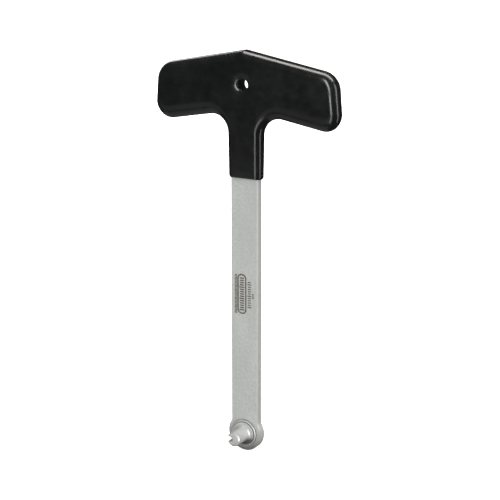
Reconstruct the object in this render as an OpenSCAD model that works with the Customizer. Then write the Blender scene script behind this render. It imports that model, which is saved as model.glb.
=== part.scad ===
// T-handled pin wrench: a flat steel strap with a dipped vinyl grip at one end
// and a notched stub pin riveted through a round eye at the other.
// Origin: centre of the hang hole, in the middle of the strap's thickness.
// +X runs along the grip's arms, -Y is the side the pin stands out of, +Z is up.

/* [Overall] */
// Distance from the hang hole down to the pin's axis
hole_to_pin = 243.2; // [200:0.1:320]

/* [Grip outline] */
// Width across the lower corners of the arms, before rounding
arm_span = 142.5; // [110:0.1:170]
// How far each arm's end leans inwards from its lower to its upper corner
end_lean = 3.6; // [0:0.1:6]
// Height of the crown's peak above the hang hole
crown_h = 22.7; // [18:0.1:30]
// Slope of the top edge on each side of the peak, in degrees
crown_slope = 10.3; // [0:0.1:15]
// Drop from the hang hole to the arms' lower corners
arm_drop = 29; // [26:0.1:36]
// Drop from the hang hole to the armpit corners, before rounding
armpit_drop = 19; // [18:0.2:24]
// Drop from the hang hole to the grip's lower end
grip_drop = 62.8; // [55:0.1:90]
// Width of the stem at the armpits, before rounding
stem_top_w = 26.5; // [24.6:0.1:32]
// Width of the stem at its lower end
stem_low_w = 25.4; // [23:0.1:30]
// Thickness of the grip at the crown
grip_top_t = 12.6; // [11:0.1:18]
// Thickness of the grip at its lower end
grip_low_t = 9.5; // [8.5:0.1:12]

/* [Grip rounding] */
// Radius of the crown's peak
crown_r = 3.6; // [1:0.1:8]
// Radius of the arms' upper corners
arm_top_r = 13.6; // [8:0.1:16]
// Radius of the arms' lower corners
arm_low_r = 11.3; // [8:0.1:14]
// Radius of the armpits
armpit_r = 12.2; // [6:0.1:14]
// Radius of the stem's lower corners
foot_r = 2.2; // [1:0.1:3]
// Reach of the rounding from the top and end edges to the flat faces
edge_reach = 6; // [3:0.1:6.5]
// Reach of the fuller rounding under the arms
under_reach = 9.5; // [5:0.1:10]
// Reach of the rounding along the stem's sides
stem_reach = 5; // [3:0.1:6]
// Reach of the rounding around the stem's lower end
foot_reach = 1.2; // [0.5:0.1:2]

/* [Hang hole] */
// Diameter of the hang hole
hole_d = 7.5; // [5:0.1:10]
// Radius of the lip that rolls from each face into the hole
lip_r = 1.6; // [1:0.1:2.5]

/* [Steel core] */
// Width of the strap
strap_w = 21; // [16:0.5:23]
// Thickness of the strap and of the tee plate
strap_t = 6; // [4:0.1:7]
// Chamfer along the strap's long edges
strap_chamfer = 0.7; // [0.2:0.1:1]
// Vinyl between the tee plate's edges and the grip's outline
skin = 3.5; // [2.5:0.1:5]
// Drop from the hang hole to the butt joint between strap and tee plate
joint_drop = 26.2; // [24:0.1:40]
// Radius between the tee plate's arms and its neck
neck_r = 8; // [4:0.5:9]
// Land left between the two weld grooves
weld_land = 1; // [0.5:0.1:2]

/* [Eye] */
// Diameter of the round eye
eye_d = 26; // [24:0.1:30]
// Radius that blends the strap's sides into the eye
eye_blend_r = 4; // [2:0.5:8]
// Width of the bevel around the eye's front rim
rim_bevel = 2.1; // [1:0.1:2.2]
// Diameter of the spot face that the washer sits in
spot_d = 21; // [19.5:0.1:22]
// Depth of the spot face
spot_depth = 0.3; // [0.1:0.1:0.8]

/* [Stub pin] */
// Diameter of the pin's shank
pin_d = 10; // [8:0.1:12]
// Height of the pin's tip above the strap's front face
pin_h = 15.4; // [10:0.1:24]
// Chamfer at the tip
tip_chamfer = 0.8; // [0.3:0.1:1.5]
// Diameter of the pin's flange
flange_d = 16; // [14:0.1:17]
// Thickness of the flange
flange_t = 1; // [0.8:0.1:2]
// Radius of the fillet between flange and shank
root_r = 2.6; // [1:0.1:2.8]
// Diameter of the tail that goes through the strap
tail_d = 8; // [6:0.1:9]
// Diameter of the peened head, flush in the strap's back face
peen_d = 12; // [9.5:0.1:14]
// Depth of the countersink for the peened head
peen_depth = 1.5; // [0.5:0.1:2]
// Width of the notch in the tip
notch_w = 3.8; // [2:0.1:5]
// Depth of the notch along the pin
notch_depth = 5.6; // [2:0.1:6]
// Distance from the pin's axis to the notch's rounded inner end
notch_inset = 0.3; // [0:0.1:2]

/* [Pin washer] */
// Outer diameter of the washer
washer_d = 18.6; // [17.2:0.1:19.4]
// Thickness of the washer
washer_t = 1.2; // [0.8:0.1:2]
// Clearance between the washer's hole and the tail, all round
washer_gap = 0.1; // [0.05:0.05:0.3]
// Chamfer on the washer's front edge
washer_chamfer = 0.3; // [0.1:0.1:0.4]

/* [Hidden] */
$fn = 96;

steel = [0.72, 0.73, 0.71];
turned = [0.62, 0.63, 0.62];
vinyl = [0.09, 0.09, 0.08];

half_t = strap_t / 2;
half_w = strap_w / 2;
eye_r = eye_d / 2;
seat_y = half_t - spot_depth;
flange_y = seat_y + washer_t;
tip_y = half_t + pin_h;
cut = 1;

// Corners of the grip's outline, clockwise from the peak as seen from the front
arm_top_x = arm_span / 2 - end_lean;
right_side = [
    [arm_top_x, crown_h - arm_top_x * tan(crown_slope)],
    [arm_span / 2, -arm_drop],
    [stem_top_w / 2, -armpit_drop],
    [stem_low_w / 2, -grip_drop]
];
grip_corners = mirrored([0, crown_h], right_side);
grip_radii = mirrored_values(crown_r, [arm_top_r, arm_low_r, -armpit_r, foot_r]);
grip_steps = mirrored_values(4, [7, 7, 8, 3]);
// How far the rounding reaches in from each edge; edge i runs from corner i to i + 1
right_reach = [edge_reach, edge_reach, under_reach, stem_reach];
grip_reach = [each right_reach, foot_reach, each reversed(right_reach)];
edge_rings = 5;
hub_z = -armpit_drop / 2;

// Corners of the tee plate: the grip's own edges moved in, with a neck as wide as the strap
plate_upper = [for (i = [0:2]) inset_corner(grip_corners, i, skin, skin)];
under_slope = (armpit_drop - arm_drop) / (stem_top_w / 2 - arm_span / 2);
neck_z = plate_upper[2].y - under_slope * (half_w - plate_upper[2].x);
plate_corners = mirrored(
    plate_upper[0],
    [plate_upper[1], plate_upper[2], [half_w, neck_z], [half_w, -joint_drop]]
);
plate_radii = mirrored_values(0, [arm_top_r - skin, arm_low_r - skin, -neck_r, 0]);
plate_steps = mirrored_values(1, [8, 8, 8, 1]);

function reversed(list) = [for (i = [len(list) - 1:-1:0]) list[i]];
function mirrored(peak, side) = [peak, each side, each [for (p = reversed(side)) [-p.x, p.y]]];
function mirrored_values(first, side) = [first, each side, each reversed(side)];
function unit(v) = v / norm(v);
function around(list, i) = list[(i + len(list)) % len(list)];

// Normal of edge i, pointing into a clockwise outline
function inward(list, i) = let (d = unit(around(list, i + 1) - around(list, i))) [d.y, -d.x];

// Corner i after the edge before it moves in by a and the edge after it by b
function inset_corner(list, i, a, b) =
    let (m = inward(list, i - 1), n = inward(list, i), d = m.x * n.y - m.y * n.x)
    list[i] + [a * n.y - b * m.y, b * m.x - a * n.x] / d;

// Points of the arc that rounds corner p between a and b; a zero radius leaves it sharp
function arc_points(a, p, b, r, steps) = r == 0 ? [p] :
    let (u = unit(a - p), v = unit(b - p), half = acos(u * v) / 2)
    let (c = p + unit(u + v) * r / sin(half), s = p + u * r / tan(half) - c, e = p + v * r / tan(half) - c)
    let (from = atan2(s.y, s.x), turn = (atan2(e.y, e.x) - from + 540) % 360 - 180)
    [for (k = [0:steps]) c + r * [cos(from + turn * k / steps), sin(from + turn * k / steps)]];

function rounded(corners, radii, steps) = [
    for (i = [0:len(corners) - 1])
        each arc_points(around(corners, i - 1), corners[i], around(corners, i + 1), abs(radii[i]), steps[i])
];

// The grip's outline, moved in by a share of each edge's own reach
function grip_outline(share) =
    let (moved = [for (i = [0:len(grip_corners) - 1]) inset_corner(grip_corners, i,
        share * around(grip_reach, i - 1), share * grip_reach[i])])
    let (radii = [for (i = [0:len(grip_radii) - 1])
        let (mean = share * (around(grip_reach, i - 1) + grip_reach[i]) / 2)
        grip_radii[i] < 0 ? grip_radii[i] - mean : max(grip_radii[i] - mean, 0.3)])
    rounded(moved, radii, grip_steps);

// Half the grip's thickness at height z
function grip_half_t(z) =
    let (rise = (z + grip_drop) / (crown_h + grip_drop))
    (grip_low_t + (grip_top_t - grip_low_t) * rise) / 2;

// One ring of grip points; angle 0 is the outer edge, 90 the face, side is -1 in front
function grip_ring(angle, side) = [
    for (p = grip_outline(1 - cos(angle)))
        [p.x, side * grip_half_t(p.y) * sin(angle), p.y]
];

module grip_shell() {
    angles = [for (k = [0:edge_rings]) 90 * k / edge_rings];
    rings = [
        each [for (a = reversed(angles)) grip_ring(a, -1)],
        each [for (k = [1:edge_rings]) grip_ring(angles[k], 1)]
    ];
    count = len(rings[0]);
    last = len(rings) - 1;
    walls = [
        for (k = [0:last - 1], i = [0:count - 1])
            let (j = (i + 1) % count)
            [k * count + i, (k + 1) * count + i, (k + 1) * count + j, k * count + j]
    ];
    // Each face is a fan about a point between the armpits that sees the whole outline
    hubs = [for (side = [-1, 1]) [0, side * grip_half_t(hub_z), hub_z]];
    hub = (last + 1) * count;
    front = [for (i = [0:count - 1]) [i, (i + 1) % count, hub]];
    back = [for (i = [0:count - 1]) [last * count + (i + 1) % count, last * count + i, hub + 1]];
    points = [each [for (ring = rings) each ring], each hubs];
    polyhedron(points = points, faces = [each front, each back, each walls]);
}

// Turns a shape drawn along +Z so that it points out of the front, along -Y
module facing_front() {
    rotate([90, 0, 0]) children();
}

module at_pin() {
    translate([0, 0, -hole_to_pin]) facing_front() children();
}

// Straight length of strap with its four long edges chamfered
module strap_bar(from_z, to_z) {
    c = strap_chamfer;
    section = [
        [-half_w + c, -half_t],
        [half_w - c, -half_t],
        [half_w, -half_t + c],
        [half_w, half_t - c],
        [half_w - c, half_t],
        [-half_w + c, half_t],
        [-half_w, half_t - c],
        [-half_w, -half_t + c]
    ];
    translate([0, 0, from_z]) linear_extrude(to_z - from_z) polygon(section);
}

// Round plate of the eye, bevelled in front and chamfered behind
module eye_plate() {
    rotate_extrude() polygon([
        [0, -half_t],
        [eye_r - strap_chamfer, -half_t],
        [eye_r, -half_t + strap_chamfer],
        [eye_r, half_t - strap_chamfer],
        [eye_r - rim_bevel, half_t],
        [0, half_t]
    ]);
}

// The two small webs that blend the strap's sides into the eye
module eye_blends() {
    rise = sqrt(pow(eye_r + eye_blend_r, 2) - pow(half_w + eye_blend_r, 2));
    centre = [half_w + eye_blend_r, rise];
    touch = centre * eye_r / norm(centre);
    web_t = strap_t - 2 * strap_chamfer;
    for (side = [0, 1]) mirror([side, 0, 0]) translate([0, 0, -web_t / 2]) difference() {
        linear_extrude(web_t) polygon([[0, 0], touch, centre, [half_w, rise], [0, rise]]);
        translate([centre.x, centre.y, -cut]) cylinder(r = eye_blend_r, h = web_t + 2 * cut);
    }
}

// Wedge of weld metal between the land and one face; side is -1 in front
module weld_wedge(side, length) {
    depth = (strap_t - weld_land) / 2;
    translate([-length / 2, 0, -joint_drop]) rotate([90, 0, 90]) linear_extrude(length) polygon([
        [side * weld_land / 2, 0],
        [side * half_t, depth],
        [side * half_t, -depth]
    ]);
}

module weld_wedges(length) {
    for (side = [-1, 1]) weld_wedge(side, length);
}

module plate_blank() {
    translate([0, half_t, 0]) facing_front() difference() {
        linear_extrude(strap_t) polygon(rounded(plate_corners, plate_radii, plate_steps));
        translate([0, 0, -cut]) cylinder(d = hole_d + 2 * skin, h = strap_t + 2 * cut);
    }
}

// Flat bar with the eye at its lower end and a double bevel at the butt joint
module strap() {
    color(steel) difference() {
        union() {
            strap_bar(-hole_to_pin, -joint_drop);
            at_pin() eye_plate();
            at_pin() eye_blends();
        }
        at_pin() translate([0, 0, seat_y]) cylinder(d = spot_d, h = spot_depth + cut);
        at_pin() translate([0, 0, -half_t - cut]) cylinder(d = tail_d, h = strap_t + 2 * cut);
        at_pin() rotate_extrude() polygon([
            [0, -half_t],
            [peen_d / 2, -half_t],
            [tail_d / 2, -half_t + peen_depth],
            [0, -half_t + peen_depth]
        ]);
        weld_wedges(strap_w + 2 * cut);
    }
}

// Cross plate inside the grip's arms, with the lined hang hole through it
module tee_plate() {
    color(steel) difference() {
        plate_blank();
        weld_wedges(strap_w + 2 * cut);
    }
}

// Weld metal, ground flush, in the two grooves of the butt joint
module tee_welds() {
    color(turned) weld_wedges(strap_w - 2 * strap_chamfer);
}

// Vinyl skin moulded over the tee plate and the strap's upper end
module grip() {
    hole_r = hole_d / 2;
    mouth_y = grip_half_t(0);
    color(vinyl) difference() {
        grip_shell();
        plate_blank();
        strap_bar(-grip_drop - cut, -joint_drop);
        facing_front() translate([0, 0, -grip_top_t]) cylinder(r = hole_r, h = 2 * grip_top_t);
        for (side = [0, 1]) mirror([0, side, 0]) facing_front() rotate_extrude() difference() {
            translate([0, mouth_y - lip_r]) square([hole_r + lip_r, lip_r + cut]);
            translate([hole_r + lip_r, mouth_y - lip_r]) circle(r = lip_r);
        }
    }
}

// Washer between the pin's flange and the strap
module pin_washer() {
    outer = washer_d / 2;
    bore = tail_d / 2 + washer_gap;
    color(steel) at_pin() translate([0, 0, seat_y]) difference() {
        rotate_extrude() polygon([
            [0, 0],
            [outer, 0],
            [outer, washer_t - washer_chamfer],
            [outer - washer_chamfer, washer_t],
            [0, washer_t]
        ]);
        translate([0, 0, -cut]) cylinder(r = bore, h = washer_t + 2 * cut);
    }
}

// One turned piece: notched shank, filleted flange, tail through the strap and peened head
module stub_pin() {
    pin_r = pin_d / 2;
    flange_top = flange_y + flange_t;
    notch_x = notch_inset + notch_w / 2;
    color(turned) at_pin() difference() {
        union() {
            translate([0, 0, flange_y]) cylinder(r = pin_r, h = tip_y - tip_chamfer - flange_y);
            translate([0, 0, tip_y - tip_chamfer])
                cylinder(r1 = pin_r, r2 = pin_r - tip_chamfer, h = tip_chamfer);
            translate([0, 0, flange_y]) cylinder(d = flange_d, h = flange_t);
            translate([0, 0, flange_top]) rotate_extrude() difference() {
                square([pin_r + root_r, root_r]);
                translate([pin_r + root_r, root_r]) circle(r = root_r);
            }
            rotate_extrude() polygon([
                [0, -half_t],
                [peen_d / 2, -half_t],
                [tail_d / 2, -half_t + peen_depth],
                [tail_d / 2, flange_y],
                [0, flange_y]
            ]);
        }
        translate([-notch_x, 0, tip_y - notch_depth]) {
            cylinder(d = notch_w, h = notch_depth + cut);
            translate([-pin_r, -notch_w / 2, 0]) cube([pin_r, notch_w, notch_depth + cut]);
        }
    }
}

strap();
tee_plate();
tee_welds();
grip();
pin_washer();
stub_pin();
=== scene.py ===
import math

import bmesh
import bpy
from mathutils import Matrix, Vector
from mathutils.geometry import delaunay_2d_cdt


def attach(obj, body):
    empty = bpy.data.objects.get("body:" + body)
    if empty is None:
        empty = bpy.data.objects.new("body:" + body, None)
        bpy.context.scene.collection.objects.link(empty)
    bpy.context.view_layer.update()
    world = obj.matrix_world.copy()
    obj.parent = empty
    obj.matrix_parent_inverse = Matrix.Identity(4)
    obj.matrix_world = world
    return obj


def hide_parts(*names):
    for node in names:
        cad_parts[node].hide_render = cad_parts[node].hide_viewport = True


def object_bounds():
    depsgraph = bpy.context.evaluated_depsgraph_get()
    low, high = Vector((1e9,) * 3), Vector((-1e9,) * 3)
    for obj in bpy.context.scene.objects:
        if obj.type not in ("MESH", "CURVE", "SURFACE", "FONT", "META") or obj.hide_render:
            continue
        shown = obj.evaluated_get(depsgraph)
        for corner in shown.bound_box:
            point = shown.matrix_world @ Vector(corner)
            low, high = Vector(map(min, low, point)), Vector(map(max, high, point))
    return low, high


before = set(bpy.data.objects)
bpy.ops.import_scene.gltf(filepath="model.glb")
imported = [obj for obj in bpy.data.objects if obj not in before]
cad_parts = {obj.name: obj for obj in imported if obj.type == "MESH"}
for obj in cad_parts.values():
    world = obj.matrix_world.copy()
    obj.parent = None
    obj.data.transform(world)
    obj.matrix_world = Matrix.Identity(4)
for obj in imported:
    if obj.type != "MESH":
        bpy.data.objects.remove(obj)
cad_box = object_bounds()

# All sizes are in millimetres, in the part's own frame: the origin is the centre of the
# hang hole, X runs along the grip's arms, -Y is the front and Z is up.
MM = 0.001
PIN_Z = -243.2
STRAP_HALF_W = 10.5
STRAP_HALF_T = 3.0
JOINT_Z = -26.2
SIDES = 128

# Grip outline: right-hand corners from the arm's top corner down to the foot
CROWN_Z = 22.7
ARM_HALF = 71.25
END_LEAN = 3.6
CROWN_SLOPE = math.radians(10.3)
ARM_LOW_Z = -29.0
ARMPIT_Z = -19.0
FOOT_Z = -62.8
STEM_TOP_HALF = 13.25
STEM_LOW_HALF = 12.7
GRIP_TOP_T = 12.6
GRIP_LOW_T = 9.5
HOLE_R = 3.75
HOLE_SIDES = 72
LIP_R = 1.6
DISH_REACH = 5.6
SKIN = 3.5
CROWN_R = 3.6
ARM_TOP_R = 13.6
ARM_LOW_R = 11.3
ARMPIT_R = 12.2
FOOT_R = 2.2
NECK_R = 8.0


# ---------------------------------------------------------------- outlines


def mirrored(peak, side):
    """A whole left-right symmetric outline, clockwise from its peak."""
    return [Vector(peak)] + [Vector(p) for p in side] + [Vector((-x, z)) for x, z in reversed(side)]


def mirrored_values(first, side):
    """One value per corner of a mirrored outline."""
    return [first] + list(side) + list(reversed(side))


def inward(corners, i):
    """Unit normal of edge i of a clockwise outline, pointing into it."""
    count = len(corners)
    along = (corners[(i + 1) % count] - corners[i % count]).normalized()
    return Vector((along.y, -along.x))


def inset_corner(corners, i, before, after):
    """Corner i once the edge before it and the edge after it have moved in."""
    m, n = inward(corners, i - 1), inward(corners, i)
    d = m.x * n.y - m.y * n.x
    return corners[i] + Vector((before * n.y - after * m.y, after * m.x - before * n.x)) / d


def corner_arc(before, corner, after, radius, steps):
    """Points of the arc that rounds one corner."""
    u, v = (before - corner).normalized(), (after - corner).normalized()
    half = u.angle(v) / 2
    centre = corner + (u + v).normalized() * radius / math.sin(half)
    start = corner + u * radius / math.tan(half) - centre
    end = corner + v * radius / math.tan(half) - centre
    first = math.atan2(start.y, start.x)
    turn = (math.atan2(end.y, end.x) - first + 3 * math.pi) % (2 * math.pi) - math.pi
    angles = [first + turn * k / steps for k in range(steps + 1)]
    return [centre + radius * Vector((math.cos(a), math.sin(a))) for a in angles]


def rounded(corners, radii, arc_steps, run_steps):
    """Closed outline with rounded corners; run i, from corner i to i + 1, is cut into run_steps[i]."""
    count = len(corners)
    arcs = []
    for i in range(count):
        if radii[i] == 0:
            arcs.append([corners[i]])
        else:
            arcs.append(
                corner_arc(corners[i - 1], corners[i], corners[(i + 1) % count], radii[i], arc_steps[i])
            )
    points = []
    for i in range(count):
        points += arcs[i]
        a, b = arcs[i][-1], arcs[(i + 1) % count][0]
        points += [a.lerp(b, k / run_steps[i]) for k in range(1, run_steps[i])]
    return points


def inside(outline, p):
    """Whether p lies inside a closed outline, by counting the edges to its right."""
    hit = False
    for a, b in zip(outline, outline[1:] + outline[:1]):
        if (a.y > p.y) != (b.y > p.y) and p.x < a.x + (p.y - a.y) * (b.x - a.x) / (b.y - a.y):
            hit = not hit
    return hit


def circle(radius, centre_z, count):
    """Points of a circle about the plane X = 0, as (x, z)."""
    steps = [2 * math.pi * k / count for k in range(count)]
    return [Vector((radius * math.cos(a), centre_z + radius * math.sin(a))) for a in steps]


# ---------------------------------------------------------------- meshes


def to_object(name, bm, material):
    """Closes a mesh up, turns its faces outward and puts it in the scene."""
    bmesh.ops.remove_doubles(bm, verts=bm.verts, dist=0.2e-5)
    bmesh.ops.recalc_face_normals(bm, faces=bm.faces)
    mesh = bpy.data.meshes.new(name)
    bm.to_mesh(mesh)
    bm.free()
    mesh.materials.append(material)
    obj = bpy.data.objects.new(name, mesh)
    bpy.context.scene.collection.objects.link(obj)
    return obj


def add_points(bm, points):
    return [bm.verts.new(Vector(p) * MM) for p in points]


def bridge(bm, ring_a, ring_b):
    """Four-sided faces between two rings of equal length."""
    count = len(ring_a)
    for i in range(count):
        j = (i + 1) % count
        bm.faces.new((ring_a[i], ring_a[j], ring_b[j], ring_b[i]))


def cap(bm, outer, hole, spacing, face_y):
    """Triangulated face between an outer ring and a hole ring, with a light grid of points in it."""
    flat_outer = [Vector((v.co.x, v.co.z)) / MM for v in outer]
    flat_hole = [Vector((v.co.x, v.co.z)) / MM for v in hole]
    rim = flat_outer + flat_hole
    low_x, high_x = min(p.x for p in rim), max(p.x for p in rim)
    low_z, high_z = min(p.y for p in rim), max(p.y for p in rim)
    grid = []
    for row in range(int((high_z - low_z) / spacing) + 1):
        shift = spacing / 2 * (row % 2)
        for column in range(int((high_x - low_x) / spacing) + 1):
            p = Vector((low_x + shift + column * spacing, low_z + (row + 0.5) * spacing))
            if not inside(flat_outer, p) or inside(flat_hole, p):
                continue
            if min((p - q).length_squared for q in rim) > (0.55 * spacing) ** 2:
                grid.append(p)
    edges = [(k, (k + 1) % len(outer)) for k in range(len(outer))]
    edges += [(len(outer) + k, len(outer) + (k + 1) % len(hole)) for k in range(len(hole))]
    found = delaunay_2d_cdt(rim + grid, edges, [], 0, 1e-6, True)
    points, triangles, sources = found[0], found[2], found[3]
    made, place = {}, {}
    for k, source in enumerate(sources):
        for rim_index in source:
            if rim_index < len(rim):
                made[k] = (outer + hole)[rim_index]
                place[rim_index] = k
    walls = {frozenset((place[a], place[b])) for a, b in edges}
    for t in kept_triangles(points, triangles, walls, flat_outer, flat_hole):
        for k in t:
            if k not in made:
                p = points[k]
                made[k] = bm.verts.new(Vector((p.x, face_y(p.x, p.y), p.y)) * MM)
        bm.faces.new([made[k] for k in t])


def kept_triangles(points, triangles, walls, outer, hole):
    """The triangles between the two outlines, reached from the largest one without crossing a wall."""
    beside = {}
    for n, t in enumerate(triangles):
        for a, b in zip(t, t[1:] + t[:1]):
            beside.setdefault(frozenset((a, b)), []).append(n)

    def area(t):
        a, b, c = (points[k] for k in t)
        return abs((b - a).cross(c - a))

    for n in sorted(range(len(triangles)), key=lambda n: -area(triangles[n])):
        middle = sum((points[k] for k in triangles[n]), Vector((0, 0))) / 3
        if inside(outer, middle) and not inside(hole, middle):
            break
    reached, waiting = {n}, [n]
    while waiting:
        t = triangles[waiting.pop()]
        for a, b in zip(t, t[1:] + t[:1]):
            side = frozenset((a, b))
            if side in walls:
                continue
            for other in beside[side]:
                if other not in reached:
                    reached.add(other)
                    waiting.append(other)
    return [triangles[n] for n in sorted(reached)]


def slab(name, outer, hole, spacing, front_y, back_y, material, edge=None):
    """Closed plate with one hole. outer and hole are lists of rings from front to back.

    edge holds, per outer ring and vertex, 0 on flats, 1 on a narrow chamfer and up to 2 on the turned rim.
    """
    bm = bmesh.new()
    layer = bm.verts.layers.float.new("edge")
    outer_rings = [add_points(bm, ring) for ring in outer]
    hole_rings = [add_points(bm, ring) for ring in hole]
    for ring, values in zip(outer_rings, edge or []):
        for v, value in zip(ring, values):
            v[layer] = value
    for rings in (outer_rings, hole_rings):
        for a, b in zip(rings, rings[1:]):
            bridge(bm, a, b)
    cap(bm, outer_rings[0], hole_rings[0], spacing, front_y)
    cap(bm, outer_rings[-1], hole_rings[-1], spacing, back_y)
    return to_object(name, bm, material)


def soften(profile, radius, steps=3):
    """A polyline whose inner corners are rounded by a small radius, or less where a side is short."""
    points = [Vector(profile[0])]
    for a, b, c in zip(profile, profile[1:], profile[2:]):
        a, b, c = Vector(a), Vector(b), Vector(c)
        half = (a - b).angle(c - b) / 2
        if half > math.radians(88):
            points.append(b)
            continue
        most = 0.45 * min((a - b).length, (c - b).length) * math.tan(half)
        points += corner_arc(a, b, c, min(radius, most), steps)
    return points + [Vector(profile[-1])]


def turned(name, profile, material, closed=False, sides=SIDES):
    """Body of revolution about the pin's axis; profile is (radius, height in front of the strap's middle)."""
    bm = bmesh.new()
    rings = []
    for radius, height in profile:
        if radius < 1e-6:
            rings.append([bm.verts.new(Vector((0, -height, PIN_Z)) * MM)])
            continue
        ring = circle(radius, PIN_Z, sides)
        rings.append(add_points(bm, [(p.x, -height, p.y) for p in ring]))
    pairs = list(zip(rings, rings[1:]))
    if closed:
        pairs.append((rings[-1], rings[0]))
    for a, b in pairs:
        if len(a) == 1 or len(b) == 1:
            pole, ring = (a[0], b) if len(a) == 1 else (b[0], a)
            for i in range(sides):
                bm.faces.new((pole, ring[i], ring[(i + 1) % sides]))
        else:
            bridge(bm, a, b)
    return to_object(name, bm, material)


def prism(name, section, start, end, place):
    """Closed prism between two places along its length, used as a cutter."""
    bm = bmesh.new()
    rings = [add_points(bm, [place(p, t) for p in section]) for t in (start, end)]
    bridge(bm, rings[0], rings[1])
    for ring in rings:
        bm.faces.new(ring)
    return to_object(name, bm, bpy.data.materials.new("cutter"))


def cut_away(obj, *cutters):
    """Cuts the cutters out of a piece and removes them."""
    for cutter in cutters:
        m = obj.modifiers.new("cut", "BOOLEAN")
        m.operation = "DIFFERENCE"
        m.solver = "EXACT"
        m.object = cutter
    settle(obj)
    for cutter in cutters:
        bpy.data.objects.remove(cutter)


def settle(obj):
    """Turns an object's modifiers into its plain mesh."""
    graph = bpy.context.evaluated_depsgraph_get()
    mesh = bpy.data.meshes.new_from_object(obj.evaluated_get(graph))
    obj.modifiers.clear()
    obj.data = mesh


def break_edges(obj, width, angle):
    m = obj.modifiers.new("edges", "BEVEL")
    m.width = width * MM
    m.segments = 3
    m.limit_method = "ANGLE"
    m.angle_limit = math.radians(angle)
    m.harden_normals = False
    settle(obj)


def smooth(obj, angle):
    obj.data.polygons.foreach_set("use_smooth", [True] * len(obj.data.polygons))
    obj.data.set_sharp_from_angle(angle=math.radians(angle))


def finish_piece(obj, slot, *nodes):
    if nodes:
        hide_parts(*nodes)
    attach(obj, "root")


# ---------------------------------------------------------------- finishes


class Finish:
    """A procedural finish: one Principled shader and the nodes that feed it."""

    def __init__(self, name, colour, metallic, roughness, specular=0.5):
        self.material = bpy.data.materials.new(name)
        self.material.use_nodes = True
        self.nodes = self.material.node_tree.nodes
        self.links = self.material.node_tree.links
        self.shader = self.nodes["Principled BSDF"]
        self.shader.inputs["Base Color"].default_value = (*colour, 1)
        self.shader.inputs["Metallic"].default_value = metallic
        self.shader.inputs["Roughness"].default_value = roughness
        self.shader.inputs["Specular IOR Level"].default_value = specular
        self.place = self.nodes.new("ShaderNodeTexCoord").outputs["Object"]
        self.normal = None

    def noise(self, size, detail=3.0, stretch=(1, 1, 1), distortion=0.0):
        """Noise whose blobs are about size millimetres across."""
        mapping = self.nodes.new("ShaderNodeMapping")
        mapping.inputs["Scale"].default_value = stretch
        self.links.new(self.place, mapping.inputs["Vector"])
        node = self.nodes.new("ShaderNodeTexNoise")
        node.inputs["Scale"].default_value = 1 / (size * MM)
        node.inputs["Detail"].default_value = detail
        node.inputs["Distortion"].default_value = distortion
        self.links.new(mapping.outputs["Vector"], node.inputs["Vector"])
        return node.outputs["Fac"]

    def math(self, operation, a, b=None, c=None):
        node = self.nodes.new("ShaderNodeMath")
        node.operation = operation
        for socket, value in zip(node.inputs, (a, b, c)):
            if value is None:
                continue
            if isinstance(value, (int, float)):
                socket.default_value = value
            else:
                self.links.new(value, socket)
        return node.outputs[0]

    def spread(self, value, low, high, to_low, to_high):
        """Maps a value from one range to another, with soft ends."""
        node = self.nodes.new("ShaderNodeMapRange")
        node.interpolation_type = "SMOOTHSTEP"
        ends = {"From Min": low, "From Max": high, "To Min": to_low, "To Max": to_high}
        for name, number in ends.items():
            node.inputs[name].default_value = number
        self.links.new(value, node.inputs["Value"])
        return node.outputs["Result"]

    def blend(self, share, first, second):
        """Mix of two colours, or of a colour already made and one more."""
        node = self.nodes.new("ShaderNodeMix")
        node.data_type = "RGBA"
        self.links.new(share, node.inputs["Factor"])
        for socket, value in ((node.inputs[6], first), (node.inputs[7], second)):
            if isinstance(value, tuple):
                socket.default_value = (*value, 1)
            else:
                self.links.new(value, socket)
        return node.outputs[2]

    def bump(self, height, depth, strength=1.0):
        """Raises the surface by height times depth millimetres."""
        node = self.nodes.new("ShaderNodeBump")
        node.inputs["Distance"].default_value = depth * MM
        node.inputs["Strength"].default_value = strength
        self.links.new(height, node.inputs["Height"])
        if self.normal:
            self.links.new(self.normal, node.inputs["Normal"])
        self.normal = node.outputs["Normal"]
        self.links.new(self.normal, self.shader.inputs["Normal"])

    def attribute(self, name):
        node = self.nodes.new("ShaderNodeAttribute")
        node.attribute_name = name
        return node.outputs["Fac"]

    def set(self, name, value):
        self.links.new(value, self.shader.inputs[name])

    def paint_shade_ring(self, full_r, clear_r, most, film):
        """Lays painted shade, in the colour film, over the front: full within one radius and gone at another.
        """
        radius, depth = self.from_pin_axis()
        near = self.spread(radius, full_r * MM, clear_r * MM, most, 0)
        in_front = self.spread(depth, -1 * MM, 0, 1, 0)
        self.paint_shade_over(self.math("MULTIPLY", near, in_front), film)

    def paint_shade_over(self, share, colour):
        """Lays painted shade, one more colour, over the base colour made so far."""
        under = self.shader.inputs["Base Color"].links[0].from_socket
        self.set("Base Color", self.blend(share, under, colour))

    def height(self):
        """Height above the hang hole, in metres."""
        split = self.nodes.new("ShaderNodeSeparateXYZ")
        self.links.new(self.place, split.inputs[0])
        return split.outputs[2]

    def from_pin_axis(self):
        """Distance from the pin's axis, and depth along it, in metres."""
        split = self.nodes.new("ShaderNodeSeparateXYZ")
        self.links.new(self.place, split.inputs[0])
        x, y, z = split.outputs
        rise = self.math("SUBTRACT", z, PIN_Z * MM)
        squares = self.math("ADD", self.math("MULTIPLY", x, x), self.math("MULTIPLY", rise, rise))
        return self.math("SQRT", squares), y


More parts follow.
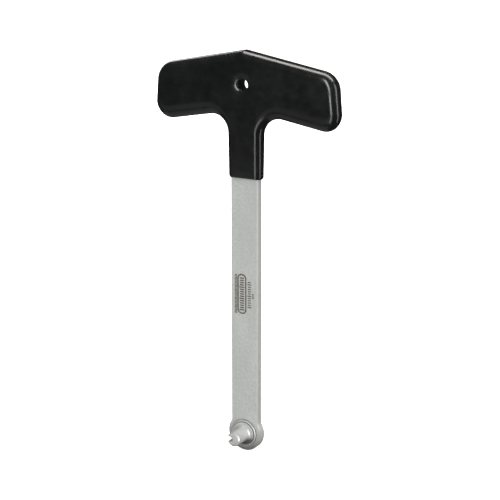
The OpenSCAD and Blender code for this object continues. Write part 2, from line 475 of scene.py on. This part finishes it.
def vinyl_finish():
    """Glossy black dipped vinyl: faint orange peel, slow waves and a few scuffs."""
    f = Finish("grip_vinyl", (0.009, 0.009, 0.008), 0.0, 0.2)
    cloud = f.spread(f.noise(18, 4), 0.35, 0.7, 0, 1)
    f.set("Base Color", f.blend(cloud, (0.0028, 0.003, 0.0032), (0.005, 0.0053, 0.0055)))
    scuff = f.spread(f.noise(3.5, 6, (1, 1, 0.25), 1.5), 0.62, 0.72, 0, 1)
    gloss = f.spread(f.noise(6, 5), 0.3, 0.75, 0.17, 0.27)
    f.set("Roughness", f.math("ADD", gloss, f.math("MULTIPLY", scuff, 0.04)))
    f.bump(f.noise(22, 1), 0.25, 0.35)
    f.bump(f.noise(1.3, 2), 0.02, 0.35)
    return f.material


def strap_finish():
    """Satin nickel plate over blasted flat bar, rubbed brighter along the edges, with painted shade round the
    washer and below the pin.
    """
    f = Finish("strap_steel", (0.62, 0.63, 0.61), 0.3, 0.45)
    cloud = f.spread(f.noise(14, 5, (1, 1, 0.35)), 0.3, 0.72, 0, 1)
    plate = f.blend(cloud, (0.615, 0.635, 0.605), (0.69, 0.705, 0.68))
    plate = f.blend(f.spread(f.noise(1.6, 4), 0.3, 0.7, 0, 0.55), plate, (0.50, 0.515, 0.49))
    speck = f.spread(f.noise(0.9, 4), 0.6, 0.74, 0, 0.5)
    plate = f.blend(speck, plate, (0.47, 0.47, 0.44))
    rubbed = f.spread(f.noise(2.4, 4, (1, 1, 0.3)), 0.25, 0.7, 0.45, 0.8)
    edge = f.attribute("edge")
    worn = f.math("MULTIPLY", f.math("MINIMUM", edge, 1.0), rubbed)
    plate = f.blend(worn, plate, (0.69, 0.70, 0.69))
    turned_rim = f.spread(edge, 1.15, 1.75, 0, 1)
    tone = f.spread(f.noise(3, 5), 0.35, 0.7, 0, 1)
    rim = f.blend(tone, (0.56, 0.57, 0.55), (0.63, 0.635, 0.615))
    f.set("Base Color", f.blend(turned_rim, plate, rim))
    # Painted shade: a dark ring on the strap in the gap round the washer, where the spot face lies in shade.
    f.paint_shade_ring(full_r=9.2, clear_r=9.9, most=0.75, film=(0.16, 0.155, 0.145))
    # Painted shade: the eye is made darker below the pin, where the pin shades it.
    low = f.spread(f.height(), (PIN_Z - 11.5) * MM, (PIN_Z - 1) * MM, 0.65, 0)
    f.paint_shade_over(low, (0.22, 0.22, 0.21))
    f.set("Metallic", f.math("MULTIPLY_ADD", turned_rim, 0.05, 0.3))
    rough = f.spread(f.noise(5, 5, (1, 1, 0.3)), 0.3, 0.75, 0.38, 0.52)
    rough = f.math("SUBTRACT", rough, f.math("MULTIPLY", worn, 0.06))
    f.set("Roughness", f.math("SUBTRACT", rough, f.math("MULTIPLY", turned_rim, 0.1)))
    f.bump(f.noise(0.5, 3, (1, 1, 0.05)), 0.012, 0.5)
    f.bump(f.noise(0.22, 2), 0.012, 0.6)
    return f.material


def turned_finish(name, colour, metallic, rough_low, rough_high, pitch, groove):
    """Bright steel with the fine uneven grooves of a lathe tool around the pin's axis.

    Returns the finish and its depth along the pin's axis.
    """
    f = Finish(name, colour, metallic, rough_low)
    radius, depth = f.from_pin_axis()
    line = f.nodes.new("ShaderNodeTexNoise")
    line.noise_dimensions = "1D"
    line.inputs["Scale"].default_value = 1 / (pitch * MM)
    line.inputs["Detail"].default_value = 2
    f.links.new(f.math("ADD", radius, f.math("MULTIPLY", depth, 1.37)), line.inputs["W"])
    darker = tuple(0.84 * c for c in colour)
    tone = f.blend(f.spread(f.noise(1.8, 5), 0.35, 0.7, 0, 1), colour, darker)
    in_groove = f.spread(line.outputs["Fac"], 0.4, 0.75, 0, 0.3)
    f.set("Base Color", f.blend(in_groove, tone, (0.45, 0.45, 0.44)))
    f.set("Roughness", f.spread(f.noise(0.9, 4), 0.3, 0.75, rough_low, rough_high))
    f.bump(line.outputs["Fac"], groove, 0.5)
    return f, depth


def pin_finish():
    """Turned pin steel, with painted shade under its root, and hammer marks on the peened head at the back.
    """
    f, depth = turned_finish("pin_steel", (0.61, 0.615, 0.6), 0.5, 0.28, 0.38, 0.16, 0.006)
    cells = f.nodes.new("ShaderNodeTexVoronoi")
    cells.inputs["Scale"].default_value = 1 / (1.7 * MM)
    f.links.new(f.place, cells.inputs["Vector"])
    # Painted shade: the underside of the shank near its root is darkened.
    under = f.spread(f.height(), (PIN_Z - 4.2) * MM, (PIN_Z - 0.8) * MM, 0.85, 0)
    root = f.spread(depth, -12.5 * MM, -7.5 * MM, 0, 1)
    f.paint_shade_over(f.math("MULTIPLY", under, root), (0.09, 0.088, 0.08))
    at_back = f.spread(depth, 1.8 * MM, 2.6 * MM, 0, 1)
    f.bump(f.math("MULTIPLY", cells.outputs["Distance"], at_back), 0.25, 0.7)
    return f.material


def washer_finish():
    """Turned washer steel, with painted shade where it meets the flange."""
    f, _ = turned_finish("washer_steel", (0.64, 0.645, 0.635), 0.45, 0.32, 0.42, 0.22, 0.008)
    # Painted shade: a dark ring on the washer face next to the flange.
    f.paint_shade_ring(full_r=8.3, clear_r=8.95, most=0.8, film=(0.14, 0.135, 0.125))
    return f.material


def core_finish():
    """Hot-rolled plate under the vinyl, with mill scale."""
    f = Finish("core_steel", (0.18, 0.17, 0.16), 0.8, 0.55)
    scale = f.spread(f.noise(2.5, 6), 0.42, 0.6, 0, 1)
    f.set("Base Color", f.blend(scale, (0.11, 0.105, 0.11), (0.27, 0.25, 0.23)))
    f.set("Roughness", f.spread(f.noise(1.2, 5), 0.3, 0.7, 0.42, 0.7))
    f.bump(f.noise(0.6, 4), 0.03, 0.6)
    return f.material


def weld_finish():
    """Weld metal ground flush: coarse grinding lines and a little heat tint."""
    f = Finish("weld_metal", (0.5, 0.48, 0.44), 0.9, 0.35)
    tint = f.spread(f.noise(3, 4), 0.35, 0.7, 0, 1)
    f.set("Base Color", f.blend(tint, (0.52, 0.5, 0.46), (0.38, 0.31, 0.24)))
    f.set("Roughness", f.spread(f.noise(0.8, 4, (0.15, 1, 1)), 0.3, 0.7, 0.25, 0.5))
    f.bump(f.noise(0.35, 3, (0.1, 1, 1)), 0.03, 0.6)
    return f.material


def etch_finish():
    """Electro-etched mark: a brown-grey oxide film, patchy where the mask lifted."""
    f = Finish("etched_oxide", (0.14, 0.125, 0.1), 0.1, 0.6)
    patch = f.spread(f.noise(1.1, 4), 0.38, 0.62, 0, 1)
    f.set("Base Color", f.blend(patch, (0.075, 0.062, 0.045), (0.17, 0.15, 0.12)))
    f.set("Roughness", f.spread(f.noise(0.5, 3), 0.3, 0.7, 0.5, 0.72))
    f.bump(f.noise(0.2, 3), 0.01, 0.5)
    return f.material


# ---------------------------------------------------------------- grip

grip_side = [
    (ARM_HALF - END_LEAN, CROWN_Z - (ARM_HALF - END_LEAN) * math.tan(CROWN_SLOPE)),
    (ARM_HALF, ARM_LOW_Z),
    (STEM_TOP_HALF, ARMPIT_Z),
    (STEM_LOW_HALF, FOOT_Z),
]
grip_corners = mirrored((0, CROWN_Z), grip_side)
grip_radii = mirrored_values(CROWN_R, [ARM_TOP_R, ARM_LOW_R, -ARMPIT_R, FOOT_R])
grip_reach = [6, 6, 9.5, 5, 1.2, 5, 9.5, 6, 6]
grip_arc_steps = mirrored_values(10, [26, 26, 22, 6])
grip_run_steps = [34, 10, 24, 20, 12, 20, 24, 10, 34]


def grip_outline(share):
    """The grip's outline after each edge has moved in by a share of its own reach."""
    corners, radii = [], []
    for i, radius in enumerate(grip_radii):
        before, after = grip_reach[i - 1], grip_reach[i]
        corners.append(inset_corner(grip_corners, i, share * before, share * after))
        mean = share * (before + after) / 2
        radii.append(mean - radius if radius < 0 else max(radius - mean, 0.3))
    return rounded(corners, radii, grip_arc_steps, grip_run_steps)


def grip_half_t(z):
    """Half the grip's thickness at a height; it thins evenly from crown to foot."""
    rise = (z - FOOT_Z) / (CROWN_Z - FOOT_Z)
    return (GRIP_LOW_T + (GRIP_TOP_T - GRIP_LOW_T) * rise) / 2


def make_grip(material):
    """The vinyl skin, with the space for the tee plate and the strap cut out of it."""
    edge_steps = 14
    outer = []
    for k in range(-edge_steps, edge_steps + 1):
        angle = math.pi / 2 * k / edge_steps
        ring = grip_outline(1 - math.cos(angle))
        outer.append([(p.x, grip_half_t(p.y) * math.sin(angle), p.y) for p in ring])
    lip_steps = 10
    hole = []
    for side in (-1, 1):
        rings = []
        for k in range(lip_steps + 1):
            a = math.pi / 2 * k / lip_steps
            ring = circle(HOLE_R + DISH_REACH * (1 - math.sin(a)), 0, HOLE_SIDES)
            drop = LIP_R * (1 - math.cos(a))
            rings.append([(p.x, side * (grip_half_t(p.y) - drop), p.y) for p in ring])
        hole += rings if side < 0 else rings[::-1]
    grip = slab(
        "grip_cover",
        outer,
        hole,
        3.2,
        lambda x, z: -grip_half_t(z),
        lambda x, z: grip_half_t(z),
        material,
    )
    cut_away(grip, make_plate_blank(), make_bar_blank())
    smooth(grip, 40)
    return grip


def make_plate_blank():
    """The space that the tee plate fills inside the vinyl, with the lined hang hole left standing."""
    upper = [inset_corner(grip_corners, i, SKIN, SKIN) for i in range(3)]
    slope = (ARMPIT_Z - ARM_LOW_Z) / (STEM_TOP_HALF - ARM_HALF)
    neck_z = upper[2].y + slope * (STRAP_HALF_W - upper[2].x)
    side = [tuple(upper[1]), tuple(upper[2]), (STRAP_HALF_W, neck_z), (STRAP_HALF_W, JOINT_Z - 1)]
    corners = mirrored(upper[0], side)
    radii = mirrored_values(0, [ARM_TOP_R - SKIN, ARM_LOW_R - SKIN, NECK_R, 0])
    outline = rounded(corners, radii, mirrored_values(1, [12, 12, 12, 1]), [1] * len(corners))
    t = STRAP_HALF_T
    outer = [[(p.x, y, p.y) for p in outline] for y in (-t, t)]
    hole = [[(p.x, y, p.y) for p in circle(HOLE_R + SKIN, 0, HOLE_SIDES)] for y in (-t, t)]
    one_face = 200
    return slab(
        "plate_blank",
        outer,
        hole,
        one_face,
        lambda x, z: -t,
        lambda x, z: t,
        bpy.data.materials.new("cutter"),
    )


def strap_section():
    """The strap's cross-section, a flat bar with chamfered edges, as (x, y)."""
    w, t, c = STRAP_HALF_W, STRAP_HALF_T, EDGE_CHAMFER
    return [
        (-w + c, -t), (w - c, -t), (w, -t + c), (w, t - c),
        (w - c, t), (-w + c, t), (-w, t - c), (-w, -t + c),
    ]


def make_bar_blank():
    """The space that the strap fills inside the vinyl, run out past the grip's foot."""
    return prism("bar_blank", strap_section(), FOOT_Z - 3, JOINT_Z, lambda p, t: (p[0], p[1], t))


# ---------------------------------------------------------------- strap

EYE_R = 13.0
BLEND_R = 4.0
EDGE_CHAMFER = 0.7
RIM_BEVEL = 2.1
SPOT_R = 10.5
SPOT_DEPTH = 0.3
TAIL_R = 4.0
PEEN_R = 6.0
PEEN_DEPTH = 1.5
PEEN_DOME = 0.2
WELD_ROOT = 0.5


def strap_path():
    """Right half of the strap's outline, top to bottom: (point, outward normal, front bevel)."""
    rise = math.sqrt((EYE_R + BLEND_R) ** 2 - (STRAP_HALF_W + BLEND_R) ** 2)
    centre = Vector((STRAP_HALF_W + BLEND_R, PIN_Z + rise))
    path = []
    top = 90
    for k in range(top):
        z = JOINT_Z + (centre.y - JOINT_Z) * k / top
        path.append((Vector((STRAP_HALF_W, z)), Vector((1, 0)), EDGE_CHAMFER))
    touch = math.atan2(rise, STRAP_HALF_W + BLEND_R)
    steps = 14
    for k in range(steps + 1):
        a = math.pi + touch * k / steps
        out = Vector((math.cos(a), math.sin(a)))
        path.append((centre + BLEND_R * out, -out, EDGE_CHAMFER))
    arc, widening = 64, 18
    for k in range(1, arc + 1):
        a = touch - (touch + math.pi / 2) * k / arc
        out = Vector((math.cos(a), math.sin(a)))
        share = min(k / widening, 1)
        share = share * share * (3 - 2 * share)
        bevel = EDGE_CHAMFER + (RIM_BEVEL - EDGE_CHAMFER) * share
        path.append((Vector((0, PIN_Z)) + EYE_R * out, out, bevel))
    return path


def weld_grooves():
    """Cutters for the two V grooves that the weld beads fill, front and back."""
    depth, beyond = STRAP_HALF_T - WELD_ROOT, STRAP_HALF_T + 1
    grooves = []
    for face in (-1, 1):
        section = [(face * WELD_ROOT, 0), (face * beyond, depth + 1), (face * beyond, -depth - 1)]
        grooves.append(prism("groove", section, -12, 12, lambda p, t: (t, p[0], JOINT_Z + p[1])))
    return grooves


def make_strap(material):
    """Flat bar with a bevelled eye, a spot face for the washer and a countersink at the back."""
    right = strap_path()
    left = [(Vector((-p.x, p.y)), Vector((-n.x, n.y)), w) for p, n, w in reversed(right[:-1])]
    across = [Vector((STRAP_HALF_W * (1 - k / 6), JOINT_Z)) for k in range(11, 0, -1)]
    path = right + left
    path += [(p, Vector((0, 0)), 0) for p in across if abs(p.x) < STRAP_HALF_W - 2.2]
    # (share of the bevel, height in front of the middle): flat face, bevel, side, chamfer, flat face.
    # The flat ends are long while the corners are rounded, and are then pulled in.
    t, side = STRAP_HALF_T, STRAP_HALF_T - EDGE_CHAMFER
    profile = soften([(1.35, t), (1, t), (0, side), (0, -side), (1, -t), (1.35, -t)], 0.16, 4)
    profile[0], profile[-1] = Vector((1.08, t)), Vector((1.08, -t))
    outer, edge = [], []
    for share, height in profile:
        front = height > 0
        on_bevel = 0.02 < share < 1.02
        ring, marks = [], []
        for p, n, w in path:
            width = w if front else min(w, EDGE_CHAMFER)
            q = p - n * width * share
            ring.append((q.x, -height, q.y))
            turned_share = (width - EDGE_CHAMFER) / (RIM_BEVEL - EDGE_CHAMFER)
            marks.append(1 + turned_share if on_bevel and w else 0)
        outer.append(ring)
        edge.append(marks)
    bore = soften(
        [(SPOT_R + 0.4, t), (SPOT_R, t), (SPOT_R, t - SPOT_DEPTH), (TAIL_R, t - SPOT_DEPTH),
         (TAIL_R, PEEN_DEPTH - t), (PEEN_R, -t), (PEEN_R + 0.5, -t)],
        0.06,
        3,
    )
    bore[0], bore[-1] = Vector((SPOT_R + 0.08, t)), Vector((PEEN_R + 0.2, -t))
    hole = [[(p.x, -h, p.y) for p in circle(r, PIN_Z, SIDES)] for r, h in bore]
    strap = slab(
        "strap_bar",
        outer,
        hole,
        4.0,
        lambda x, z: -STRAP_HALF_T,
        lambda x, z: STRAP_HALF_T,
        material,
        edge,
    )
    cut_away(strap, *weld_grooves())
    smooth(strap, 35)
    return strap


# ---------------------------------------------------------------- pin and washer

PIN_R = 5.0
TIP_H = 18.4
TIP_CHAMFER = 0.8
FLANGE_R = 8.0
FLANGE_T = 1.0
FLANGE_CHAMFER = 0.3
FLANGE_STEP = 1.0
ROOT_R = 2.6
WASHER_R = 9.3
WASHER_T = 1.2
WASHER_CHAMFER = 0.3
WASHER_STEP = 0.8
WASHER_CLEARANCE = 0.1
NOTCH_W = 3.8
NOTCH_DEPTH = 5.6
NOTCH_INSET = 0.3
# Height of the spot face, and the open gap at the washer's and flange's edges
SEAT_H = 2.7
GAP = 0.4


def make_pin(material):
    """Notched stub pin: chamfered tip, shank, root fillet, flange, tail and peened head."""
    t = STRAP_HALF_T
    under = SEAT_H + WASHER_T
    top = under + FLANGE_T
    root = corner_arc(Vector((PIN_R, TIP_H)), Vector((PIN_R, top)), Vector((FLANGE_R, top)), ROOT_R, 12)
    corner = TIP_H - TIP_CHAMFER
    head = soften([(0, TIP_H), (PIN_R - TIP_CHAMFER, TIP_H), (PIN_R, corner), (PIN_R, TIP_H - 3)], 0.15)
    shank = [(PIN_R, h) for h in (TIP_H - 5, TIP_H - 7)]
    ledge = FLANGE_R - FLANGE_STEP
    foot = soften(
        [(FLANGE_R - FLANGE_CHAMFER, top), (FLANGE_R, top), (FLANGE_R, under + GAP), (ledge, under + GAP),
         (ledge, under), (TAIL_R, under), (TAIL_R, PEEN_DEPTH - t),
         (PEEN_R, 0.1 - t), (PEEN_R - 0.5, -0.02 - t), (PEEN_R - 2, -0.14 - t)],
        0.12,
    )
    rings = list(head) + [Vector(p) for p in shank] + root + foot
    rings += [Vector((2, -PEEN_DOME - t)), Vector((0, -PEEN_DOME - t))]
    pin = turned("stub_pin_body", rings, material)
    r = NOTCH_W / 2
    centre = -(NOTCH_INSET + r)
    angles = [math.pi / 2 * (1 - k / 12) for k in range(25)]
    arc = [(centre + r * math.cos(a), r * math.sin(a)) for a in angles]
    section = arc + [(-PIN_R - 2, -r), (-PIN_R - 2, r)]
    notch = prism(
        "notch", section, TIP_H - NOTCH_DEPTH, TIP_H + 2, lambda p, h: (p[0], -h, PIN_Z + p[1])
    )
    cut_away(pin, notch)
    break_edges(pin, 0.12, 50)
    smooth(pin, 32)
    return pin


def make_washer(material):
    """Washer with a chamfered front edge, stepped back where it sits in the spot face."""
    inner, outer = TAIL_R + WASHER_CLEARANCE, WASHER_R
    low, high = SEAT_H, SEAT_H + WASHER_T
    chamfer, ledge, start = WASHER_CHAMFER, outer - WASHER_STEP, (inner, low + WASHER_T / 2)
    loop = [
        start, (inner, high), (outer - chamfer, high), (outer, high - chamfer), (outer, low + GAP),
        (ledge, low + GAP), (ledge, low), (inner, low), start,
    ]
    profile = soften(loop, 0.1)[:-1]
    washer = turned("pin_washer_disc", profile, material, closed=True)
    smooth(washer, 32)
    return washer


# ---------------------------------------------------------------- etched scale


def node_group(name, sizes):
    """A geometry tree with one float input per size and a material input."""
    tree = bpy.data.node_groups.new(name, "GeometryNodeTree")
    for label, kind in sizes:
        tree.interface.new_socket(name=label, in_out="INPUT", socket_type=kind)
    tree.interface.new_socket(name="Geometry", in_out="OUTPUT", socket_type="NodeSocketGeometry")
    return tree, tree.nodes.new("NodeGroupInput"), tree.nodes.new("NodeGroupOutput")


def paint_and_pass_out(tree, given, out, shape):
    """Ends a tree: makes its instances real and gives them the material."""
    real = tree.nodes.new("GeometryNodeRealizeInstances")
    tree.links.new(shape, real.inputs[0])
    paint = tree.nodes.new("GeometryNodeSetMaterial")
    tree.links.new(real.outputs[0], paint.inputs["Geometry"])
    tree.links.new(given.outputs["Material"], paint.inputs["Material"])
    tree.links.new(paint.outputs[0], out.inputs[0])


def ladder_tree():
    """A straight row of flat strokes, every fifth one longer."""
    tree, given, out = node_group(
        "etched_ladder",
        [("Strokes", "NodeSocketInt"), ("Pitch", "NodeSocketFloat"), ("Length", "NodeSocketFloat"),
         ("Long share", "NodeSocketFloat"), ("Stroke", "NodeSocketFloat"), ("Film", "NodeSocketFloat"),
         ("Material", "NodeSocketMaterial")],
    )
    new, link = tree.nodes.new, tree.links.new
    step = new("ShaderNodeCombineXYZ")
    link(given.outputs["Pitch"], step.inputs["Z"])
    row = new("GeometryNodeMeshLine")
    link(given.outputs["Strokes"], row.inputs["Count"])
    link(step.outputs[0], row.inputs["Offset"])
    size = new("ShaderNodeCombineXYZ")
    link(given.outputs["Length"], size.inputs["X"])
    link(given.outputs["Film"], size.inputs["Y"])
    link(given.outputs["Stroke"], size.inputs["Z"])
    bar = new("GeometryNodeMeshCube")
    link(size.outputs[0], bar.inputs["Size"])
    index = new("GeometryNodeInputIndex")
    modulo = new("ShaderNodeMath")
    modulo.operation = "MODULO"
    modulo.inputs[1].default_value = 5
    link(index.outputs[0], modulo.inputs[0])
    short = new("ShaderNodeMath")
    short.operation = "GREATER_THAN"
    short.inputs[1].default_value = 0.5
    link(modulo.outputs[0], short.inputs[0])
    wide = new("ShaderNodeMix")
    link(short.outputs[0], wide.inputs[0])
    link(given.outputs["Long share"], wide.inputs[2])
    wide.inputs[3].default_value = 1.0
    scale = new("ShaderNodeCombineXYZ")
    link(wide.outputs[0], scale.inputs["X"])
    scale.inputs["Y"].default_value = 1
    scale.inputs["Z"].default_value = 1
    place = new("GeometryNodeInstanceOnPoints")
    link(row.outputs[0], place.inputs["Points"])
    link(bar.outputs["Mesh"], place.inputs["Instance"])
    link(scale.outputs[0], place.inputs["Scale"])
    paint_and_pass_out(tree, given, out, place.outputs[0])
    return tree


def frame_tree():
    """A long rounded frame drawn with one flat stroke."""
    tree, given, out = node_group(
        "etched_frame",
        [("Width", "NodeSocketFloat"), ("Height", "NodeSocketFloat"), ("Corner", "NodeSocketFloat"),
         ("Stroke", "NodeSocketFloat"), ("Film", "NodeSocketFloat"), ("Material", "NodeSocketMaterial")],
    )
    new, link = tree.nodes.new, tree.links.new
    loop = new("GeometryNodeCurvePrimitiveQuadrilateral")
    link(given.outputs["Width"], loop.inputs["Width"])
    link(given.outputs["Height"], loop.inputs["Height"])
    fillet = new("GeometryNodeFilletCurve")
    fillet.mode = "POLY"
    fillet.inputs["Count"].default_value = 10
    fillet.inputs["Limit Radius"].default_value = True
    link(loop.outputs[0], fillet.inputs["Curve"])
    link(given.outputs["Corner"], fillet.inputs["Radius"])
    section = new("GeometryNodeCurvePrimitiveQuadrilateral")
    link(given.outputs["Stroke"], section.inputs["Width"])
    link(given.outputs["Film"], section.inputs["Height"])
    sweep = new("GeometryNodeCurveToMesh")
    link(fillet.outputs[0], sweep.inputs["Curve"])
    link(section.outputs[0], sweep.inputs["Profile Curve"])
    stand = new("GeometryNodeTransform")
    stand.inputs["Rotation"].default_value = (math.pi / 2, 0, 0)
    link(sweep.outputs[0], stand.inputs["Geometry"])
    paint_and_pass_out(tree, given, out, stand.outputs[0])
    return tree


def grown(tree, values):
    """The mesh that a geometry tree makes from named values."""
    holder = bpy.data.objects.new("holder", bpy.data.meshes.new("holder"))
    bpy.context.scene.collection.objects.link(holder)
    m = holder.modifiers.new("tree", "NODES")
    m.node_group = tree
    for item in tree.interface.items_tree:
        if item.in_out == "INPUT":
            m[item.identifier] = values[item.name]
    settle(holder)
    mesh = holder.data
    bpy.data.objects.remove(holder)
    return mesh


def make_scale(material):
    """A plain graduated scale in three columns, etched into the strap's front face."""
    ladder, loop = ladder_tree(), frame_tree()
    film = 0.05 * MM
    bm = bmesh.new()

    def add(mesh, x, z):
        before = set(bm.verts)
        bm.from_mesh(mesh)
        fresh = [v for v in bm.verts if v not in before]
        bmesh.ops.translate(bm, verts=fresh, vec=Vector((x, -STRAP_HALF_T, z)) * MM)

    def row(strokes, pitch, length, long_share, stroke, x, z):
        values = {"Strokes": strokes, "Pitch": pitch * MM, "Length": length * MM, "Long share": long_share,
                  "Stroke": stroke * MM, "Film": film, "Material": material}
        add(grown(ladder, values), x, z)

    def outline(width, height, corner, stroke, x, z):
        values = {"Width": width * MM, "Height": height * MM, "Corner": corner * MM,
                  "Stroke": stroke * MM, "Film": film, "Material": material}
        add(grown(loop, values), x, z)

    row(29, 0.95, 1.8, 1.25, 0.62, -6.5, -156.2)
    outline(6.1, 27.2, 2.7, 0.95, -1.8, -142.6)
    row(15, 1.6, 3.2, 1.25, 0.9, -1.8, -153.8)
    row(12, 1.6, 2.4, 1.25, 0.75, 4.0, -151.4)
    row(4, 0.95, 1.4, 1.0, 0.6, 6.9, -144.6)
    return to_object("etched_scale", bm, material)


# ---------------------------------------------------------------- object

grip = make_grip(vinyl_finish())
strap = make_strap(strap_finish())
pin = make_pin(pin_finish())
washer = make_washer(washer_finish())
scale = make_scale(etch_finish())

finish_piece(grip, "grip_vinyl", "grip")
finish_piece(strap, "strap_steel", "strap")
finish_piece(pin, "pin_steel", "stub_pin")
finish_piece(washer, "washer_steel", "pin_washer")
finish_piece(scale, "strap_steel")

for node_name, finish in (("tee_plate", core_finish()), ("tee_welds", weld_finish())):
    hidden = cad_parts[node_name]
    hidden.data.materials.clear()
    hidden.data.materials.append(finish)

# ---------------------------------------------------------------- stage


def make_floor():
    """Large plain white floor, just under the eye; it casts no light and catches no shadow."""
    bm = bmesh.new()
    reach, level = 40, cad_box[0].z - 0.1 * MM
    rim = [bm.verts.new((reach * p.x, reach * p.y, level)) for p in circle(1, 0, 96)]
    bm.faces.new(rim)
    f = Finish("floor_paper", (0.82, 0.82, 0.82), 0.0, 0.9, 0.1)
    f.set("Base Color", f.blend(f.noise(400, 2), (0.815, 0.815, 0.815), (0.83, 0.83, 0.83)))
    f.shader.inputs["Emission Color"].default_value = (1, 1, 1, 1)
    f.shader.inputs["Emission Strength"].default_value = 0.9
    mesh = bpy.data.meshes.new("floor")
    bm.to_mesh(mesh)
    bm.free()
    mesh.materials.append(f.material)
    floor = bpy.data.objects.new("floor", mesh)
    bpy.context.scene.collection.objects.link(floor)
    floor.visible_glossy = False
    floor.visible_diffuse = False
    floor.visible_shadow = False


def lit_set(name, *pieces):
    """Collection of the pieces that a lamp may light."""
    group = bpy.data.collections.new(name)
    for piece in pieces:
        group.objects.link(piece)
    return group


def lamp(name, place, aim, width, height, radiance, in_gloss=True, lights=None):
    """Soft box of the given brightness, in metres, facing aim; it may light only some pieces."""
    light = bpy.data.lights.new(name, "AREA")
    light.shape = "RECTANGLE"
    light.size, light.size_y = width, height
    light.energy = radiance * math.pi * width * height
    obj = bpy.data.objects.new(name, light)
    bpy.context.scene.collection.objects.link(obj)
    obj.location = place
    obj.rotation_mode = "QUATERNION"
    obj.rotation_quaternion = (Vector(aim) - Vector(place)).to_track_quat("-Z", "Y")
    obj.visible_glossy = in_gloss
    obj.visible_camera = False
    obj.light_linking.receiver_collection = lights
    return obj


def make_lights():
    """Soft boxes: some light only the vinyl, and some only the metal or the turned parts."""
    middle = Vector((0, 0, -0.1))
    vinyl = lit_set("lit_vinyl", grip)
    metal = lit_set("lit_metal", strap, pin, washer, scale)
    turned_parts = lit_set("lit_turned", pin, washer)
    top = lamp("top_box", (0.19, 0.001, 0.8), (0.19, 0, -1), 1.22, 0.36, 10.5, lights=vinyl)
    top.data.color = (1, 0.97, 0.92)
    lamp("front_strip_low", middle + Vector((0.07, -0.99, -0.395)), middle, 0.2, 0.55, 4.5, lights=vinyl)
    lamp("front_strip_high", middle + Vector((0.07, -0.97, 0.265)), middle, 0.24, 0.77, 11.5, lights=vinyl)
    lamp("side_strip_low", middle + Vector((0.99, -0.1, -0.395)), middle, 0.16, 0.55, 4.5, lights=vinyl)
    lamp("side_strip_high", middle + Vector((0.97, -0.1, 0.265)), middle, 0.16, 0.77, 8, lights=vinyl)
    lamp("floor_card", (-0.15, -0.03, -0.25), (-0.15, -0.03, 1), 0.34, 0.3, 0.35, lights=vinyl)
    lamp("floor_glow", (-0.45, -0.78, -0.47), (0, 0, -0.05), 1.0, 0.42, 0.27, lights=vinyl)
    lamp("front_card", (-0.5, -0.85, -0.45), (0, 0, -0.2), 0.7, 0.5, 0.7, lights=metal)
    lamp("pin_side", (0.85, -0.45, -0.1), (0, 0, -0.245), 0.22, 0.9, 9.5, lights=turned_parts)
    lamp("front_fill", middle + Vector((-0.45, -1.3, 0.75)), middle, 1.5, 1.5, 2.55, in_gloss=False)
    lamp("back_fill", middle + Vector((-0.7, 1.4, 0.7)), middle, 1.5, 1.5, 3.0, in_gloss=False)
    lamp("back_strip", middle + Vector((-0.9, 0.7, 0.4)), middle, 0.3, 0.9, 4.0, lights=vinyl)
    lamp("side_fill", middle + Vector((1.3, -0.35, 0.25)), middle, 1.2, 1.2, 4.0, in_gloss=False)
    sun = bpy.data.lights.new("room_light", "SUN")
    sun.energy = 2.6
    sun.angle = math.radians(70)
    obj = bpy.data.objects.new("room_light", sun)
    bpy.context.scene.collection.objects.link(obj)
    obj.visible_glossy = False


def make_world():
    """Dim room with a little all-round light; the far background is white."""
    world = bpy.data.worlds.new("room")
    bpy.context.scene.world = world
    world.use_nodes = True
    nodes, links = world.node_tree.nodes, world.node_tree.links
    path = nodes.new("ShaderNodeLightPath")
    level = None
    for output, share in (("Is Camera Ray", 0.95), ("Is Diffuse Ray", 0.05)):
        step = nodes.new("ShaderNodeMath")
        step.operation = "MULTIPLY_ADD"
        step.inputs[1].default_value = share
        links.new(path.outputs[output], step.inputs[0])
        if level:
            links.new(level, step.inputs[2])
        else:
            step.inputs[2].default_value = 0.05
        level = step.outputs[0]
    nodes["Background"].inputs["Color"].default_value = (1, 1, 1, 1)
    links.new(level, nodes["Background"].inputs["Strength"])


def make_camera():
    data = bpy.data.cameras.new("camera")
    data.sensor_width = 36
    data.lens = 97.06
    data.clip_end = 200
    camera = bpy.data.objects.new("camera", data)
    bpy.context.scene.collection.objects.link(camera)
    camera.location = Vector((450.1, -757.9, 116.4)) * MM
    target = Vector((2.79, 0, -111.8)) * MM
    camera.rotation_mode = "QUATERNION"
    camera.rotation_quaternion = (target - camera.location).to_track_quat("-Z", "Y")
    bpy.context.scene.camera = camera


make_floor()
make_lights()
make_world()
make_camera()
bpy.context.scene.view_settings.view_transform = "Standard"
